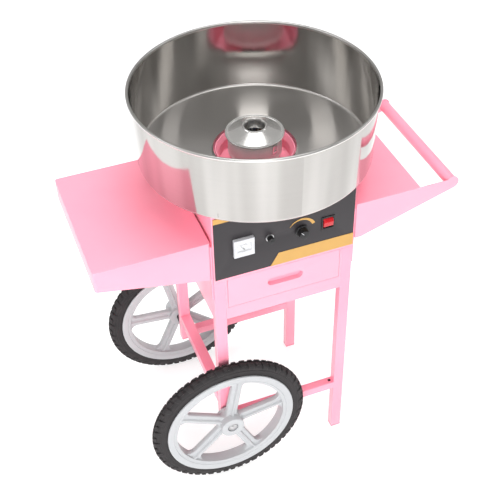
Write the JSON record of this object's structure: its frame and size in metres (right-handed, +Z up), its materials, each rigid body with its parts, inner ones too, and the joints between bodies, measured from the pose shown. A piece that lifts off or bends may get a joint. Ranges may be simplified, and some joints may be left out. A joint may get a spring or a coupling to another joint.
{
  "type": "cotton candy machine",
  "caption": "Cart-mounted cotton candy machine: lift-off steel bowl, spinning heater head, control panel, drawer, side trays, push handle and spoked wheels.",
  "frame": {"origin": "on the floor, under the spinner axis, which is also the middle of the bounding box", "axes": "+Z up, the control panel faces -Y, the wheels are at -X and the push handle is at +X"},
  "size_m": [0.816, 0.5199, 0.969],
  "materials": {
    "pink_sheet": "gloss powder coat",
    "pink_tube": "gloss powder coat",
    "pink_plastic": "satin moulded",
    "stainless": "polished, fine turning marks",
    "polished_aluminium": "polished and turned",
    "bright_steel": "zinc plated",
    "black_screw": "black oxide",
    "panel_grey": "satin printed film",
    "amber_film": "satin printed film",
    "white_plastic": "moulded",
    "black_plastic": "fine moulded texture",
    "red_plastic": "translucent moulded",
    "clear_cover": "clear",
    "wheel_plastic": "moulded",
    "tyre": "moulded tread",
    "rubber": "moulded",
    "brass": "turned",
    "ceramic": "unglazed ceramic",
    "heater_alloy": "heat tinted",
    "motor_iron": "painted",
    "board_green": "coated board"
  },
  "bodies": {
    "cart": {"post_front_left": "pink_tube", "post_front_right": "pink_tube", "post_rear_left": "pink_tube", "post_rear_right": "pink_tube", "post_plugs": "pink_plastic", "front_crossbar": "pink_tube", "rear_crossbar": "pink_tube", "axle_beam": "pink_tube", "front_apron": "pink_sheet", "rear_apron": "pink_sheet", "left_apron": "pink_sheet", "right_apron": "pink_sheet", "deck_plate": "pink_sheet", "drawer_runners": "bright_steel", "left_tray": "pink_sheet", "right_tray": "pink_sheet", "tray_straps": "pink_tube", "handle_bar": "pink_tube", "cart_screws": "black_screw", "axle_rod": "bright_steel", "axle_spacers": "black_plastic", "axle_nuts": "bright_steel", "housing_shell": "pink_sheet", "housing_top": "pink_sheet", "housing_base": "pink_sheet", "spinner_well": "pink_sheet", "bowl_pads": "rubber", "well_screws": "bright_steel", "motor_plate": "bright_steel", "motor_dampers": "rubber", "motor_body": "motor_iron", "brush_holder": "black_plastic", "control_panel": "panel_grey", "panel_trim": "amber_film", "voltmeter_case": "white_plastic", "voltmeter_window": "clear_cover", "fuse_holder": "bright_steel", "speed_dial_base": "bright_steel", "rocker_bezel": "black_plastic", "regulator_board": "board_green", "cable_gland": "black_plastic"},
    "front_wheel": {"front_rim": "wheel_plastic", "front_tyre": "tyre"},
    "rear_wheel": {"rear_rim": "wheel_plastic", "rear_tyre": "tyre"},
    "drawer": {"drawer_front": "pink_sheet", "drawer_box": "pink_sheet"},
    "spinner": {"motor_shaft": "bright_steel", "slip_rings": "brass", "spinner_pan": "polished_aluminium", "heater_seat": "ceramic", "heater_band": "heater_alloy", "spinner_cap": "polished_aluminium", "spinner_studs": "bright_steel", "spinner_clip": "polished_aluminium"},
    "bowl": {"bowl": "stainless"},
    "knob": {"control_knob": "black_plastic"},
    "rocker": {"rocker_button": "red_plastic"},
    "needle": {"voltmeter_needle": "black_plastic"},
    "fuse_plug": {"fuse_cap": "black_plastic"}
  },
  "joints": [
    {"name": "front_wheel_turn", "type": "hinge", "parent": "cart", "child": "front_wheel", "pos_m": [-0.148, -0.2084, 0.189], "axis": [0, 1, 0], "continuous": true},
    {"name": "rear_wheel_turn", "type": "hinge", "parent": "cart", "child": "rear_wheel", "pos_m": [-0.148, 0.2104, 0.189], "axis": [0, 1, 0], "continuous": true},
    {"name": "spinner_turn", "type": "hinge", "parent": "cart", "child": "spinner", "pos_m": [0, 0, 0.82], "axis": [0, 0, 1], "continuous": true},
    {"name": "bowl_lift", "type": "slide", "parent": "cart", "child": "bowl", "axis": [0, 0, 1], "range_m": [0, 0.12]},
    {"name": "drawer_slide", "type": "slide", "parent": "cart", "child": "drawer", "axis": [0, -1, 0], "range_m": [0, 0.2]},
    {"name": "knob_turn", "type": "hinge", "parent": "cart", "child": "knob", "pos_m": [0.036, -0.1695, 0.702], "axis": [0, 1, 0], "range_deg": [-80, 190]},
    {"name": "rocker_tip", "type": "hinge", "parent": "cart", "child": "rocker", "pos_m": [0.097, -0.1635, 0.704], "axis": [-1, 0, 0], "range_deg": [0, 16]},
    {"name": "needle_swing", "type": "hinge", "parent": "cart", "child": "needle", "pos_m": [-0.094, -0.1745, 0.6975], "axis": [0, 1, 0], "range_deg": [0, 72], "stiffness_Nm_per_rad": 0.0005},
    {"name": "fuse_pull", "type": "slide", "parent": "cart", "child": "fuse_plug", "axis": [0, -1, 0], "range_m": [0, 0.025]}
  ]
}
